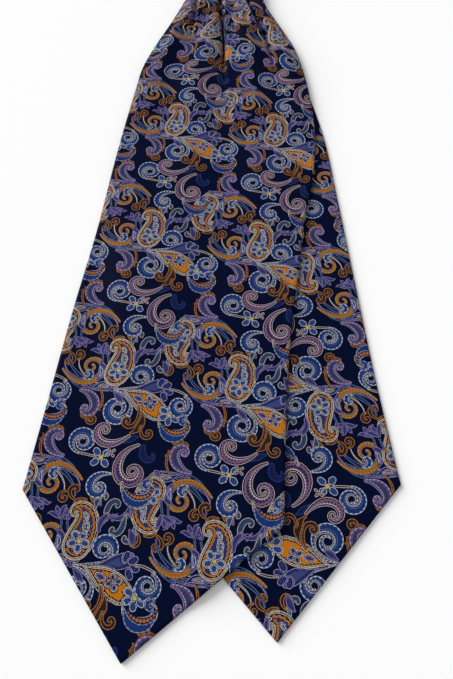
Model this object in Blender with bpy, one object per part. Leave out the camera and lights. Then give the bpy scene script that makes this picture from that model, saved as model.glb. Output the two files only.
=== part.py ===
"""A silk day cravat, laid flat and folded in half at its neckband.

Metres, +Z up. The table is the plane z = 0, +Y runs up the cravat from the points of its blades to the
turn of the neckband, and +X is to the right. The origin is on the table, at the middle of the outline.

The front blade lies on the back blade, which has swung out to the right, and beyond that blade's hidden
edge it eases down to the table. At the neck its cloth is laid in box pleats: a middle panel on top, a
lower one on each side, and the lowest at the left edge. The pleats open and fade down the blade.
The pleated neckband goes up from there, turns over and comes back underneath to the back blade.
"""

from math import pi

import bpy
import numpy as np

MM = 0.001

# Walls and gaps
WALL = 1.8 * MM  # a blade: two layers of silk with their turned edges
BAND_WALL = 3.0 * MM  # the neckband, where the pleats' layers are stitched down on each other
GAP = 0.3 * MM  # between layers, and along the seams
RIM = 0.7 * MM  # how far a turned edge is rounded over

# Neck and neckband
NECK_Y = 155.4 * MM  # the seam between blade and neckband
NECK_LEFT = -25.2 * MM
NECK_RIGHT = 37.8 * MM
TOP_Y = 332.9 * MM  # the outside of the turn, on the panels beside the middle one
FOLD_NARROW = 2.5 * MM  # how much each side of the band draws in by its turn
FOLD_GAP = 2.0 * MM  # the hollow inside the turn
FOLD_LEG = 8.0 * MM  # straight cloth on each side of the turn
FOLD_RISE = 60.0 * MM  # the upper half lifts over this length before the turn
BAND_ROWS = 8
FOLD_STEPS = 8

# Pleats, as a share of the width from the left edge. side is 1 where the right side is the higher one.
# reach is how far down the blade the fold's edge shows.
PLEAT_STEP = 0.85 * MM
PLEAT_EDGE = 0.7 * MM  # half the width of a fold's edge
PLEATS = [
    # neck share, foot share, reach, side
    (0.175, 0.237, 45 * MM, 1),
    (0.468, 0.510, 104 * MM, 1),
    (0.770, 0.885, 84 * MM, -1),
]
PANEL_COLUMNS = (3, 5, 6, 3)  # grid columns in each panel between the pleats' edges
PUFF = 1.3 * MM  # how high the opening pleats stand up between their edges
PUFF_PEAK = 55 * MM
PUFF_END = 190 * MM
PLEAT_RUN = 120 * MM  # the stacked layers thin out over this length
SETTLE = 90 * MM  # the columns spread evenly over this length, below a pleat's foot

# How the front blade comes down beside the back one
EASE_START = 8 * MM
EASE_END = 28 * MM

# Outlines, from the neck to the corners of the point: left x and y, right x and y, in millimetres
FRONT_ROWS = [
    (-25.2, 155.4, 37.8, 155.4),
    (-29.0, 144.9, 41.5, 141.9),
    (-38.1, 122.3, 52.6, 117.9),
    (-48.4, 99.1, 63.0, 92.4),
    (-56.7, 76.7, 68.3, 67.4),
    (-61.5, 50.4, 72.0, 33.4),
    (-65.6, 24.5, 72.5, 5.4),
    (-71.9, -18.4, 67.6, -38.2),
    (-75.4, -45.2, 61.2, -66.6),
    (-78.7, -70.5, 57.6, -91.6),
    (-89.5, -139.4, 47.0, -160.6),
    (-97.7, -199.0, 41.8, -219.6),
    (-104.7, -248.4, 39.0, -268.1),
]
FRONT_TIP = (-44.1, -333.3)
BACK_ROWS = [
    (-25.2, 155.4, 37.8, 155.4),
    (-30.0, 132.4, 45.3, 132.4),
    (-35.0, 117.4, 52.3, 119.4),
    (-41.5, 97.4, 58.5, 99.4),
    (-49.0, 72.4, 64.5, 75.4),
    (-54.0, 47.4, 70.6, 49.9),
    (-57.6, 5.4, 79.4, 5.4),
    (-55.0, -44.6, 85.0, -50.6),
    (-49.5, -112.6, 91.0, -116.6),
    (-43.9, -182.6, 97.6, -186.6),
    (-38.0, -245.0, 104.7, -245.7),
]
BACK_TIP = (33.3, -324.0)

# Grids: rows in the pleats' stretch and rows below it
FRONT_GRID = (14, 24)
BACK_GRID = (6, 20)
BACK_COLUMNS = 14
POINT_START = 160 * MM  # below the neck, where the rows start to bend towards the point

NAVY = (0.030, 0.033, 0.085, 1.0)
SILK_ROUGHNESS = 0.42


def ease(low, high, value):
    """A smooth 0 to 1 as the value goes from low to high."""
    share = np.clip((value - low) / (high - low), 0.0, 1.0)
    return share * share * (3.0 - 2.0 * share)


def smooth_path(points, at):
    """A smooth curve through rows of numbers: cubic pieces whose slopes are the chords' between neighbours.

    The parameter runs along the rows by the mean length of their two sides.
    """
    points = np.asarray(points, float)
    steps = np.hypot(np.diff(points[:, 0::2], axis=0), np.diff(points[:, 1::2], axis=0)).mean(1)
    knots = np.concatenate([[0.0], np.cumsum(steps)])
    slopes = np.gradient(points, knots, axis=0)
    place = np.clip(np.searchsorted(knots, at, side="right") - 1, 0, len(knots) - 2)
    span = (knots[place + 1] - knots[place])[:, None]
    share = (np.asarray(at) - knots[place])[:, None] / span
    start, end = points[place], points[place + 1]
    pull, push = slopes[place] * span, slopes[place + 1] * span
    across = end - start
    bend = share * share * (3.0 - 2.0 * share)
    return (
        start
        + across * bend
        + pull * share * (1.0 - share) ** 2
        - push * (1.0 - share) * share**2
    )


def path_length(points):
    """The length of a table of rows, as smooth_path measures it."""
    points = np.asarray(points, float)
    steps = np.hypot(np.diff(points[:, 0::2], axis=0), np.diff(points[:, 1::2], axis=0))
    return steps.mean(1).sum()


def pleat_anchors(depth, width):
    """Where the pleats' edges cross a row, as shares of its width, and half the width of each edge.

    An edge runs straight to its foot, and below that eases to where the grid's even columns have it.
    """
    columns = sum(PANEL_COLUMNS) + len(PLEATS)
    evenly = np.cumsum(PANEL_COLUMNS[:-1]) + np.arange(len(PLEATS)) + 0.5
    centres, halves = [], []
    for (neck, foot, reach, _), column in zip(PLEATS, evenly):
        crease = neck + (foot - neck) * min(depth / reach, 1.0)
        settled = ease(reach, reach + SETTLE, depth)
        centres.append(crease + (column / columns - crease) * settled)
        halves.append(PLEAT_EDGE / width * (1.0 - settled) + 0.5 / columns * settled)
    return np.array(centres), np.array(halves)


def column_shares(depth, width):
    """Every grid column's share of the width: evenly spaced between the edges of the pleats."""
    centres, halves = pleat_anchors(depth, width)
    anchors = [0.0]
    places = [0]
    for centre, half, count in zip(centres, halves, PANEL_COLUMNS):
        anchors += [centre - half, centre + half]
        places += [places[-1] + count, places[-1] + count + 1]
    anchors.append(1.0)
    places.append(places[-1] + PANEL_COLUMNS[-1])
    return np.interp(np.arange(places[-1] + 1), places, anchors)


def pleat_height(shares, depth, width):
    """How far the cloth stands above the plain wall along one row: the pleats' steps, and their puff.

    Each fold's edge is a step up or down that fades towards its foot. Between edges the cloth stands
    up in a soft arch, highest a little way below the neck.
    """
    centres, halves = pleat_anchors(depth, width)
    height = np.zeros_like(shares)
    for centre, half, (_, _, reach, side) in zip(centres, halves, PLEATS):
        fade = 1.0 - ease(0.45 * reach, reach, depth)
        height += side * PLEAT_STEP * fade * ease(centre - half, centre + half, shares)
    walls = np.concatenate([[0.0], centres, [1.0]])
    place = np.clip(np.searchsorted(walls, shares, side="right") - 1, 0, len(walls) - 2)
    local = (shares - walls[place]) / (walls[place + 1] - walls[place])
    swell = ease(0.0, PUFF_PEAK, depth) * (1.0 - ease(PUFF_PEAK, PUFF_END, depth))
    return height + PUFF * swell * np.sin(pi * local) ** 2


def row_depths(length, counts):
    """How far below the neck each row lies: counts[0] steps through the pleats and counts[1] below."""
    upper = np.linspace(0.0, PLEAT_RUN, counts[0] + 1)
    lower = np.linspace(PLEAT_RUN, length, counts[1] + 1)
    return np.concatenate([upper, lower[1:]])


def blade_plan(rows, tip, depths, shares_at):
    """The blade's grid in plan, as rows, columns, xy, with the first row at the neck.

    A point lies between the row's left and right ends by its column's share. Towards the corners the
    rows bend down, so that the last one runs along the two edges of the point.
    """
    length = path_length(rows)
    ends = smooth_path(rows, depths)
    left, right = ends[:, None, 0:2], ends[:, None, 2:4]
    shares = shares_at(ends, depths)
    plan = left + (right - left) * shares[..., None]
    corner_left, corner_right = np.array(rows[-1][0:2]), np.array(rows[-1][2:4])
    level = corner_left + (corner_right - corner_left) * shares[-1][:, None]
    half = 1.0 - np.abs(2.0 * shares[-1][:, None] - 1.0)
    outer = np.where(shares[-1][:, None] < 0.5, corner_left, corner_right)
    point = outer + (np.array(tip) - outer) * half
    bend = np.clip((depths - POINT_START / MM) / (length - POINT_START / MM), 0.0, 1.0)
    return (plan + bend[:, None, None] * (point - level)) * MM


def outline(plan):
    """The points round a grid, counter-clockwise from above when its first row is the top one."""
    return np.concatenate([plan[0, ::-1], plan[1:, 0], plan[-1, 1:], plan[-2:0:-1, -1]])


def outside(points, loop):
    """How far points lie outside a closed outline: 0 inside it."""
    shape = points.shape[:-1]
    points = points.reshape(-1, 1, 2)
    start, end = loop[None], np.roll(loop, -1, axis=0)[None]
    run = end - start
    share = ((points - start) * run).sum(-1) / (run * run).sum(-1)
    nearest = start + run * np.clip(share, 0.0, 1.0)[..., None]
    away = np.hypot(*np.moveaxis(points - nearest, -1, 0)).min(1)
    above = (start[..., 1] > points[..., 1]) != (end[..., 1] > points[..., 1])
    rise = np.where(run[..., 1] == 0.0, 1.0, run[..., 1])
    crossing = start[..., 0] + (points[..., 1] - start[..., 1]) / rise * run[..., 0]
    inside = (above & (points[..., 0] < crossing)).sum(1) % 2 == 1
    return np.where(inside, 0.0, away).reshape(shape)


def back_top(y):
    """The back blade's upper side: its wall, thicker at the neck where the pleats' layers meet."""
    return WALL + (BAND_WALL - WALL) * ease(NECK_Y - PLEAT_RUN, NECK_Y, y)


def front_under(plan, back_loop):
    """The front blade's underside: just above the back blade, and down on the table beside it."""
    on_blade = 1.0 - ease(EASE_START, EASE_END, outside(plan, back_loop))
    return (back_top(plan[..., 1]) + GAP) * on_blade


def rounded_in(plan):
    """The grid with its outermost points drawn in by the rounding of the rim."""
    drawn = plan.copy()
    rows, columns = plan.shape[:2]
    row_in = np.clip(np.arange(rows), 1, rows - 2)
    column_in = np.clip(np.arange(columns), 1, columns - 2)
    inward = plan[row_in][:, column_in] - plan
    distance = np.linalg.norm(inward, axis=-1, keepdims=True)
    distance[distance == 0.0] = 1.0
    border = np.ones((rows, columns, 1), bool)
    border[1:-1, 1:-1] = False
    return drawn + np.where(border, inward / distance * RIM, 0.0)


def grid_faces(rows, columns, first, flip):
    """Quads over a grid of points, turned over when flip is true."""
    number = first + np.arange(rows * columns).reshape(rows, columns)
    quads = np.stack([number[1:, :-1], number[1:, 1:], number[:-1, 1:], number[:-1, :-1]], -1)
    quads = quads.reshape(-1, 4)
    return quads[:, ::-1] if flip else quads


def ring_numbers(rows, columns, first):
    """The numbers of the points round a grid, in the order that outline gives them."""
    number = first + np.arange(rows * columns).reshape(rows, columns)
    return np.concatenate([number[0, ::-1], number[1:, 0], number[-1, 1:], number[-2:0:-1, -1]])


def silk(name):
    """Printed silk, seen from far off: its dark ground with a soft sheen."""
    material = bpy.data.materials.new(name)
    material.use_nodes = True
    shader = material.node_tree.nodes["Principled BSDF"]
    shader.inputs["Base Color"].default_value = NAVY
    shader.inputs["Roughness"].default_value = SILK_ROUGHNESS
    shader.inputs["Metallic"].default_value = 0.0
    return material


def cloth_piece(name, upper, lower):
    """One closed wall of cloth between an upper and a lower grid of points with the same plan.

    Its rim is a row of points at mid height on the plan's own outline, so the edge is rounded.
    """
    rows, columns = upper.shape[:2]
    count = rows * columns
    middle = (upper + lower) * 0.5
    rim = outline(middle)
    high, low = upper.copy(), lower.copy()
    high[..., :2] = rounded_in(upper[..., :2])
    low[..., :2] = rounded_in(lower[..., :2])
    points = np.concatenate([high.reshape(-1, 3), low.reshape(-1, 3), rim])
    top_ring = ring_numbers(rows, columns, 0)
    low_ring = ring_numbers(rows, columns, count)
    rim_ring = 2 * count + np.arange(len(rim))
    faces = [grid_faces(rows, columns, 0, False), grid_faces(rows, columns, count, True)]
    for over, under in ((top_ring, rim_ring), (rim_ring, low_ring)):
        faces.append(np.stack([over, under, np.roll(under, -1), np.roll(over, -1)], -1))
    mesh = bpy.data.meshes.new(name)
    mesh.from_pydata(points.tolist(), [], np.concatenate(faces).tolist())
    mesh.shade_smooth()
    mesh.set_sharp_from_angle(angle=pi / 3)
    mesh.materials.append(silk(name + "_silk"))
    piece = bpy.data.objects.new(name, mesh)
    bpy.context.scene.collection.objects.link(piece)
    return piece


def front_shares(ends, depths):
    """The front blade's columns, row by row, which follow the pleats."""
    widths = np.hypot(ends[:, 2] - ends[:, 0], ends[:, 3] - ends[:, 1])
    return np.stack([column_shares(d * MM, w * MM) for d, w in zip(depths, widths)])


def even_shares(ends, depths):
    """The back blade's columns, evenly spaced."""
    return np.tile(np.linspace(0.0, 1.0, BACK_COLUMNS + 1), (len(depths), 1))


def with_height(plan, height):
    """A grid in plan with its heights."""
    return np.concatenate([plan, np.broadcast_to(height, plan.shape[:2])[..., None]], -1)


def back_plan():
    """The back blade's grid in plan."""
    depths = row_depths(path_length(BACK_ROWS) * MM, BACK_GRID) / MM
    return blade_plan(BACK_ROWS, BACK_TIP, depths, even_shares)


def make_back_blade():
    """The blade underneath, flat on the table."""
    plan = back_plan()
    cloth_piece("back_blade", with_height(plan, back_top(plan[..., 1])), with_height(plan, 0.0))


def make_front_blade():
    """The blade on top, with its pleats opening from the neck."""
    depths = row_depths(path_length(FRONT_ROWS) * MM, FRONT_GRID) / MM
    plan = blade_plan(FRONT_ROWS, FRONT_TIP, depths, front_shares)
    ends = smooth_path(FRONT_ROWS, depths)
    widths = np.hypot(ends[:, 2] - ends[:, 0], ends[:, 3] - ends[:, 1])
    shares = front_shares(ends, depths)
    relief = np.stack([pleat_height(s, d * MM, w * MM) for s, d, w in zip(shares, depths, widths)])
    under = front_under(plan, outline(back_plan()))
    stacked = (BAND_WALL - WALL - PLEAT_STEP) * (1.0 - ease(0.0, PLEAT_RUN, depths * MM))
    over = under + WALL + stacked[:, None] + relief
    cloth_piece("front_blade", with_height(plan, over), with_height(plan, under))


def band_plan(low_y, high_y, rows, shares):
    """A stretch of the neckband in plan: straight up from the neck, drawing in a little on the way."""
    y = np.linspace(high_y, low_y, rows + 1)[:, None]
    narrow = FOLD_NARROW * (y - NECK_Y) / (TOP_Y - NECK_Y)
    x = NECK_LEFT + narrow + (NECK_RIGHT - NECK_LEFT - 2.0 * narrow) * shares
    return np.stack([x, np.broadcast_to(y, x.shape)], -1)


def band_relief(shares):
    """The pleats' steps across the neckband, above its lowest panel, as they are at the neck."""
    return pleat_height(shares, 0.0, NECK_RIGHT - NECK_LEFT)


def fold_radius():
    """The outside radius of the neckband's turn."""
    return BAND_WALL + FOLD_GAP / 2


def band_under(y):
    """The upper half's underside: just above the lower half, and lifting towards the turn."""
    fold_y = TOP_Y - fold_radius() - FOLD_LEG
    return BAND_WALL + GAP + (FOLD_GAP - GAP) * ease(fold_y - FOLD_RISE, fold_y, y)


def make_neckband():
    """The neckband's upper half, its lower half and the turn between them."""
    shares = column_shares(0.0, NECK_RIGHT - NECK_LEFT)
    fold_y = TOP_Y - fold_radius() - FOLD_LEG
    plan = band_plan(NECK_Y + GAP, fold_y - GAP, BAND_ROWS, shares)
    under = band_under(plan[..., 1])
    over = under + BAND_WALL - PLEAT_STEP + band_relief(shares)
    cloth_piece("neckband_front", with_height(plan, over), with_height(plan, under))
    cloth_piece("neckband_back", with_height(plan, BAND_WALL), with_height(plan, 0.0))

    angles = np.linspace(0.0, pi, FOLD_STEPS + 1)
    turn_y = TOP_Y - fold_radius()
    turn_z = fold_radius()
    along = np.concatenate([[fold_y - turn_y], np.zeros(FOLD_STEPS + 1), [fold_y - turn_y]])
    spin = np.concatenate([[0.0], angles, [pi]])
    flat = band_plan(turn_y, turn_y, 0, shares)[0]
    relief = (band_relief(shares) - PLEAT_STEP) * (1.0 - spin[:, None] / pi)
    grids = []
    for radius in (fold_radius() + relief, np.full_like(relief, FOLD_GAP / 2)):
        x = np.broadcast_to(flat[:, 0], radius.shape)
        y = turn_y + along[:, None] + radius * np.sin(spin)[:, None]
        z = turn_z + radius * np.cos(spin)[:, None]
        grids.append(np.stack([x, y, z], -1)[::-1])
    make_fold(*grids)


def make_fold(outer, inner):
    """The turn of the neckband: a wall bent round, from the lower half's end to the upper half's."""
    rows, columns = outer.shape[:2]
    count = rows * columns
    faces = [grid_faces(rows, columns, 0, False), grid_faces(rows, columns, count, True)]
    over, under = ring_numbers(rows, columns, 0), ring_numbers(rows, columns, count)
    faces.append(np.stack([over, under, np.roll(under, -1), np.roll(over, -1)], -1))
    points = np.concatenate([outer.reshape(-1, 3), inner.reshape(-1, 3)])
    mesh = bpy.data.meshes.new("neckband_fold")
    mesh.from_pydata(points.tolist(), [], np.concatenate(faces).tolist())
    mesh.shade_smooth()
    mesh.set_sharp_from_angle(angle=pi / 3)
    mesh.materials.append(silk("neckband_fold_silk"))
    piece = bpy.data.objects.new("neckband_fold", mesh)
    bpy.context.scene.collection.objects.link(piece)


def main():
    for old in list(bpy.data.objects):
        bpy.data.objects.remove(old, do_unlink=True)
    make_back_blade()
    make_front_blade()
    make_neckband()


main()
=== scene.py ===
"""The looks of a printed silk day cravat, laid flat and folded in half at its neckband.

Metres, +Z up, in the frame of the solids: the cravat lies on z = 0 with its points towards -Y. The print
is worked out in millimetres on the flat cloth: one repeat is a chart of curls, each a spine whose heading
turns faster towards its end, and every point of the cloth is told how deep it lies in the curl on top.
"""

from math import cos, pi, radians, sin

import bpy
import numpy as np
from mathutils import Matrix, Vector


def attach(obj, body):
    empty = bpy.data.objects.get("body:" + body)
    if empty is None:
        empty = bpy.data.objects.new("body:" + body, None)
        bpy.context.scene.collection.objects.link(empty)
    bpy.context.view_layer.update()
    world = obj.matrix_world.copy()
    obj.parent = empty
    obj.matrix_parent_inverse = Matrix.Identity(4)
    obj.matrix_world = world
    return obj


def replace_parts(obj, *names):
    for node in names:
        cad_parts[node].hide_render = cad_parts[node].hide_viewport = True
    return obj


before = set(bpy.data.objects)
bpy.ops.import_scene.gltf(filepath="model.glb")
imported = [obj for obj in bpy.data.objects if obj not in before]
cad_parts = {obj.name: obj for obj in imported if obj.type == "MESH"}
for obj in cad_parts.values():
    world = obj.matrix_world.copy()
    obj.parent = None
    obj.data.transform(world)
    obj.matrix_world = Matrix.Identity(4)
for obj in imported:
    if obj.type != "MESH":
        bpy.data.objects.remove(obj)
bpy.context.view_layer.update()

MM = 0.001

# Walls and gaps, as the solids have them
WALL = 1.8 * MM
BAND_WALL = 3.0 * MM
GAP = 0.3 * MM

# Between a blade's two layers, its rounded edge, and the ridge of its turned hem
LAYER_GAP = 0.04 * MM
RIM = 1.3 * MM
EDGE_ROLL = 0.25 * MM
EDGE_ROLL_AT = 2.4 * MM
EDGE_ROLL_WIDTH = 1.4 * MM

# Neck and neckband
NECK_Y = 155.4 * MM
NECK_LEFT = -25.2 * MM
NECK_RIGHT = 37.8 * MM
TOP_Y = 332.9 * MM
FOLD_NARROW = 2.5 * MM
FOLD_GAP = 2.0 * MM
FOLD_LEG = 8.0 * MM
FOLD_RISE = 60.0 * MM

# Pleats: share of the width at the neck and at the foot, reach, side that is higher, millimetres of cloth
# hidden in it, and how deep the groove is that the fold's edge hangs over
PLEATS = [
    (0.175, 0.237, 45 * MM, 1, 14.0, 0.95 * MM),
    (0.468, 0.515, 96 * MM, 1, 24.0, 1.9 * MM),
    (0.765, 0.805, 84 * MM, -1, 24.0, 1.9 * MM),
]
PLEAT_STEP = 0.85 * MM
PLEAT_EDGE = 0.7 * MM
PLEAT_RUN = 120 * MM
CREASE_BAND = 1.9 * MM
SETTLE = 90 * MM

# A fold's lip and groove: height, distance from its edge, widths on the near and far side, and the shares
# of the pleat's reach between which the step and the lip fade
LIP = 1.7 * MM
LIP_AT = 2.0 * MM
LIP_WIDTHS = (1.5 * MM, 4.5 * MM)
GROOVE_AT = 1.3 * MM
GROOVE_WIDTHS = (1.7 * MM, 1.1 * MM)
STEP_FADE = (0.45, 1.0)
LIP_FADE = (0.4, 1.25)

# The gathers raise the cloth under the neck, and the puff swells it between the folds
GATHER = 2.4 * MM
GATHER_RISE = 14 * MM
GATHER_FALL = (35 * MM, 120 * MM)
GATHER_SIDES = 0.12
PUFF = 2.4 * MM
PUFF_PEAK = 48 * MM
PUFF_END = 185 * MM

# Soft creases in the front blade: share of the width and depth where each starts and ends,
# half width and how far it sinks, or stands where the number is below 0, all but the shares in millimetres
FRONT_CREASES = [
    (0.33, 2, 0.27, 74, 3.2, 0.9),
    (0.58, 6, 0.47, 96, 5.5, 1.3),
    (0.66, 18, 0.70, 120, 6.5, -0.7),
    (0.88, 4, 0.93, 66, 3.0, 0.9),
    (0.08, 6, 0.16, 88, 4.0, 0.7),
    (0.90, 70, 0.83, 205, 9.0, 0.6),
    (0.20, 80, 0.25, 240, 11.0, 0.5),
    (0.55, 110, 0.60, 290, 14.0, 0.45),
    (0.38, 190, 0.34, 340, 12.0, -0.4),
    (0.78, 230, 0.86, 330, 10.0, 0.35),
    (0.10, 300, 0.22, 395, 9.0, 0.4),
    (0.62, 330, 0.52, 430, 12.0, -0.35),
]
BACK_CREASES = [
    (0.30, 10, 0.24, 95, 5.0, 0.7),
    (0.55, 4, 0.60, 120, 6.5, 0.8),
    (0.80, 12, 0.88, 100, 5.0, 0.6),
    (0.42, 110, 0.36, 260, 12.0, -0.4),
    (0.86, 150, 0.80, 285, 8.0, 0.4),
    (0.92, 260, 0.84, 385, 9.0, 0.45),
    (0.66, 300, 0.74, 420, 11.0, -0.35),
    (0.20, 280, 0.28, 400, 10.0, 0.4),
]
CREASE_ENDS = 0.8

# How far past the back blade's edge the front blade starts and ends its way down to the table
EASE_START = 8 * MM
EASE_END = 28 * MM

# Outlines, from the neck to the corners of the point: left x and y, right x and y, in millimetres
FRONT_ROWS = [
    (-25.2, 155.4, 37.8, 155.4),
    (-29.0, 144.9, 41.5, 141.9),
    (-38.1, 122.3, 52.6, 117.9),
    (-48.4, 99.1, 63.0, 92.4),
    (-56.7, 76.7, 68.3, 67.4),
    (-61.5, 50.4, 72.0, 33.4),
    (-65.6, 24.5, 72.5, 5.4),
    (-71.9, -18.4, 67.6, -38.2),
    (-75.4, -45.2, 61.2, -66.6),
    (-78.7, -70.5, 57.6, -91.6),
    (-89.5, -139.4, 47.0, -160.6),
    (-97.7, -199.0, 41.8, -219.6),
    (-104.7, -248.4, 39.0, -268.1),
]
FRONT_TIP = (-44.1, -333.3)
BACK_ROWS = [
    (-25.2, 155.4, 37.8, 155.4),
    (-30.0, 132.4, 45.3, 132.4),
    (-35.0, 117.4, 52.3, 119.4),
    (-41.5, 97.4, 58.5, 99.4),
    (-49.0, 72.4, 64.5, 75.4),
    (-54.0, 47.4, 70.6, 49.9),
    (-57.6, 5.4, 79.4, 5.4),
    (-55.0, -44.6, 85.0, -50.6),
    (-49.5, -112.6, 91.0, -116.6),
    (-43.9, -182.6, 97.6, -186.6),
    (-38.0, -245.0, 104.7, -245.7),
]
BACK_TIP = (33.3, -324.0)
POINT_START = 160 * MM
OUTLINE_ROWS = 24

# Grids: rows and columns of a blade's printed face, of its under layer and of the neckband
FACE_GRID = (540, 160)
UNDER_GRID = (352, 104)
BAND_GRID = (420, 72)
BACKING_STEP = 4

# Columns: millimetres from each edge, how many at a pleat's edge, each panel's share of the others, and
# half the share of the width that a pleat's columns spread to where it has faded
EDGE_STEPS = (0.0, 0.25, 0.6, 1.1, 1.8)
CREASE_COLUMNS = 8
PANEL_SHARES = (0.17, 0.30, 0.34, 0.19)
CREASE_SHARE = 0.024

# How the print lies on each blade: the direction of its length, and where the chart's origin falls. The
# band's cloth goes on from the front blade's, after its length and set over by a shift, in millimetres
FRONT_LEAN = radians(8.2)
BACK_LEAN = radians(-3.0)
FRONT_ORIGIN = (-34.7, 139.0)
BACK_ORIGIN = (37.0, 62.4)
BLADE_LENGTH = 490.0
BAND_SHIFT = 20.0

# The print's repeat, the point that its sprays are turned about, the clear line round a curl, and the
# step along its spine, in millimetres
REPEAT = (73.0, 98.0)
TURN_CENTRE = (16.7, -22.0)
CLEAR = 0.35
SPINE_STEP = 0.45

# A curl's last twist, the power that keeps it in the eye, and the power of its taper
EYE_TWIST = 0.30
EYE_GRIP = 12
TAPER = 1.5

# A depth or half width that says no curl is there, and how near a curl has to be to stay underneath
NOWHERE = -9.0
KEPT_WITHIN = 0.3

# The inks' edges: pitch of the teeth and beads, line round a vine, the ground's share in the line between
# its beads, the limits of the soft steps that place them, blur, and how far the ink creeps
TOOTH_PITCH = 1.9
VINE_LINE = 0.27
BEAD_DARK = 0.22
BEAD_EDGE = (-0.4, 0.3)
HOLLOW_SIDE = (-0.1, 0.5)
VINE_SEEN = (0.2, 0.6)
LEAST_GAP = 0.1
LEAST_HALF = 0.1
BLUR = 0.06
BLEED = 0.12
BLEED_SCALE = 0.7
NO_LIMIT = 100.0

# A colour lookup holds numbers from 0 to 1, so the inks' sizes go through it as tenths
TENTHS = 10.0

# Steps that aren't plain sums: the node, its settings, the sockets of its inputs and its output
STEP_KINDS = {
    "SOFT_STEP": ("ShaderNodeMapRange", {"interpolation_type": "SMOOTHSTEP"}, (0, 1, 2), 0),
    "BLEND": ("ShaderNodeMix", {"data_type": "RGBA"}, (0, 6, 7), 2),
}

# Twill: the pitch of its lines in millimetres, three times a real one so that they show, how much they
# shade and stand, and the wave texture's own scale, at which diagonal bands lie a millimetre apart
TWILL_PITCH = 0.9
TWILL_SHADE = 0.16
TWILL_STRENGTH = 0.35
TWILL_RELIEF = 0.05 * MM
BAND_SCALE = 2 * pi / 10 / 2**0.5

# Silk: its shine is low, as the photograph's even light leaves it
SILK_ROUGHNESS = 0.5
SILK_SHINE = 0.015

# Studio: the floor's half size, the light and the camera
FLOOR_HALF = 3.0
SKY_STRENGTH = 0.50
KEY_SPREAD = radians(40.0)
KEY_STRENGTH = 3.75
KEY_FROM = (-2.2, 1.5, 1.3)
KEY_TOWARDS = (0.05, -0.2, 0.0)
CAMERA_AT = (0.008, -0.3126, 0.335)
CAMERA_TILT = radians(25.0)
FOCAL_LENGTH = 31.66
SENSOR_WIDTH = 36.0


def ease(low, high, value):
    """A smooth 0 to 1 as the value goes from low to high."""
    share = np.clip((value - low) / (high - low), 0.0, 1.0)
    return share * share * (3.0 - 2.0 * share)


def smooth_path(points, at):
    """A smooth curve through rows of numbers.

    Its pieces are cubics, and the slope at each row is a weighed mean of the chords on its two sides.
    """
    points = np.asarray(points, float)
    steps = np.hypot(np.diff(points[:, 0::2], axis=0), np.diff(points[:, 1::2], axis=0)).mean(1)
    knots = np.concatenate([[0.0], np.cumsum(steps)])
    slopes = np.gradient(points, knots, axis=0)
    place = np.clip(np.searchsorted(knots, at, side="right") - 1, 0, len(knots) - 2)
    span = (knots[place + 1] - knots[place])[:, None]
    share = (np.asarray(at) - knots[place])[:, None] / span
    start, end = points[place], points[place + 1]
    pull, push = slopes[place] * span, slopes[place + 1] * span
    bend = share * share * (3.0 - 2.0 * share)
    lean = pull * share * (1.0 - share) ** 2 - push * (1.0 - share) * share**2
    return start + (end - start) * bend + lean


def path_length(points):
    """The length of a table of rows, as smooth_path measures it."""
    points = np.asarray(points, float)
    return np.hypot(np.diff(points[:, 0::2], axis=0), np.diff(points[:, 1::2], axis=0)).mean(1).sum()


def pleat_lines(depth, width):
    """Where each pleat's edge crosses each row, as shares of its width, and half the width of its crease."""
    even = np.cumsum(PANEL_SHARES[:-1])
    centres, halves = [], []
    for (neck, foot, reach, *_), column in zip(PLEATS, even):
        crease = neck + (foot - neck) * np.minimum(depth / reach, 1.0)
        settled = ease(reach, reach + SETTLE, depth)
        centres.append(crease + (column - crease) * settled)
        halves.append(CREASE_BAND / width * (1.0 - settled) + CREASE_SHARE * settled)
    return np.array(centres).T, np.array(halves).T


def column_shares(depth, width, columns):
    """Every column's share of the width: close together at the edges and at the pleats, even between.

    The share of a column is a straight-line mix of the anchors on its row, so one table of weights
    serves all rows.
    """
    centres, halves = pleat_lines(depth, width)
    steps = np.array(EDGE_STEPS) * MM / width[:, None]
    anchors = [steps]
    for k in range(len(PLEATS)):
        anchors += [(centres[:, k] - halves[:, k])[:, None], (centres[:, k] + halves[:, k])[:, None]]
    anchors.append(1.0 - steps[:, ::-1])
    anchors = np.concatenate(anchors, 1)
    edge = len(EDGE_STEPS) - 1
    free = columns - 2 * edge - CREASE_COLUMNS * len(PLEATS)
    counts = np.round(np.array(PANEL_SHARES) * free).astype(int)
    # The widest panel takes what rounding leaves
    counts[np.argmax(PANEL_SHARES)] += free - counts.sum()
    places = list(range(edge + 1))
    for count in counts[:-1]:
        places += [places[-1] + count, places[-1] + count + CREASE_COLUMNS]
    places += list(range(columns - edge, columns + 1))
    weights = [np.interp(np.arange(columns + 1), places, unit) for unit in np.eye(len(places))]
    return anchors @ np.array(weights)


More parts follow.
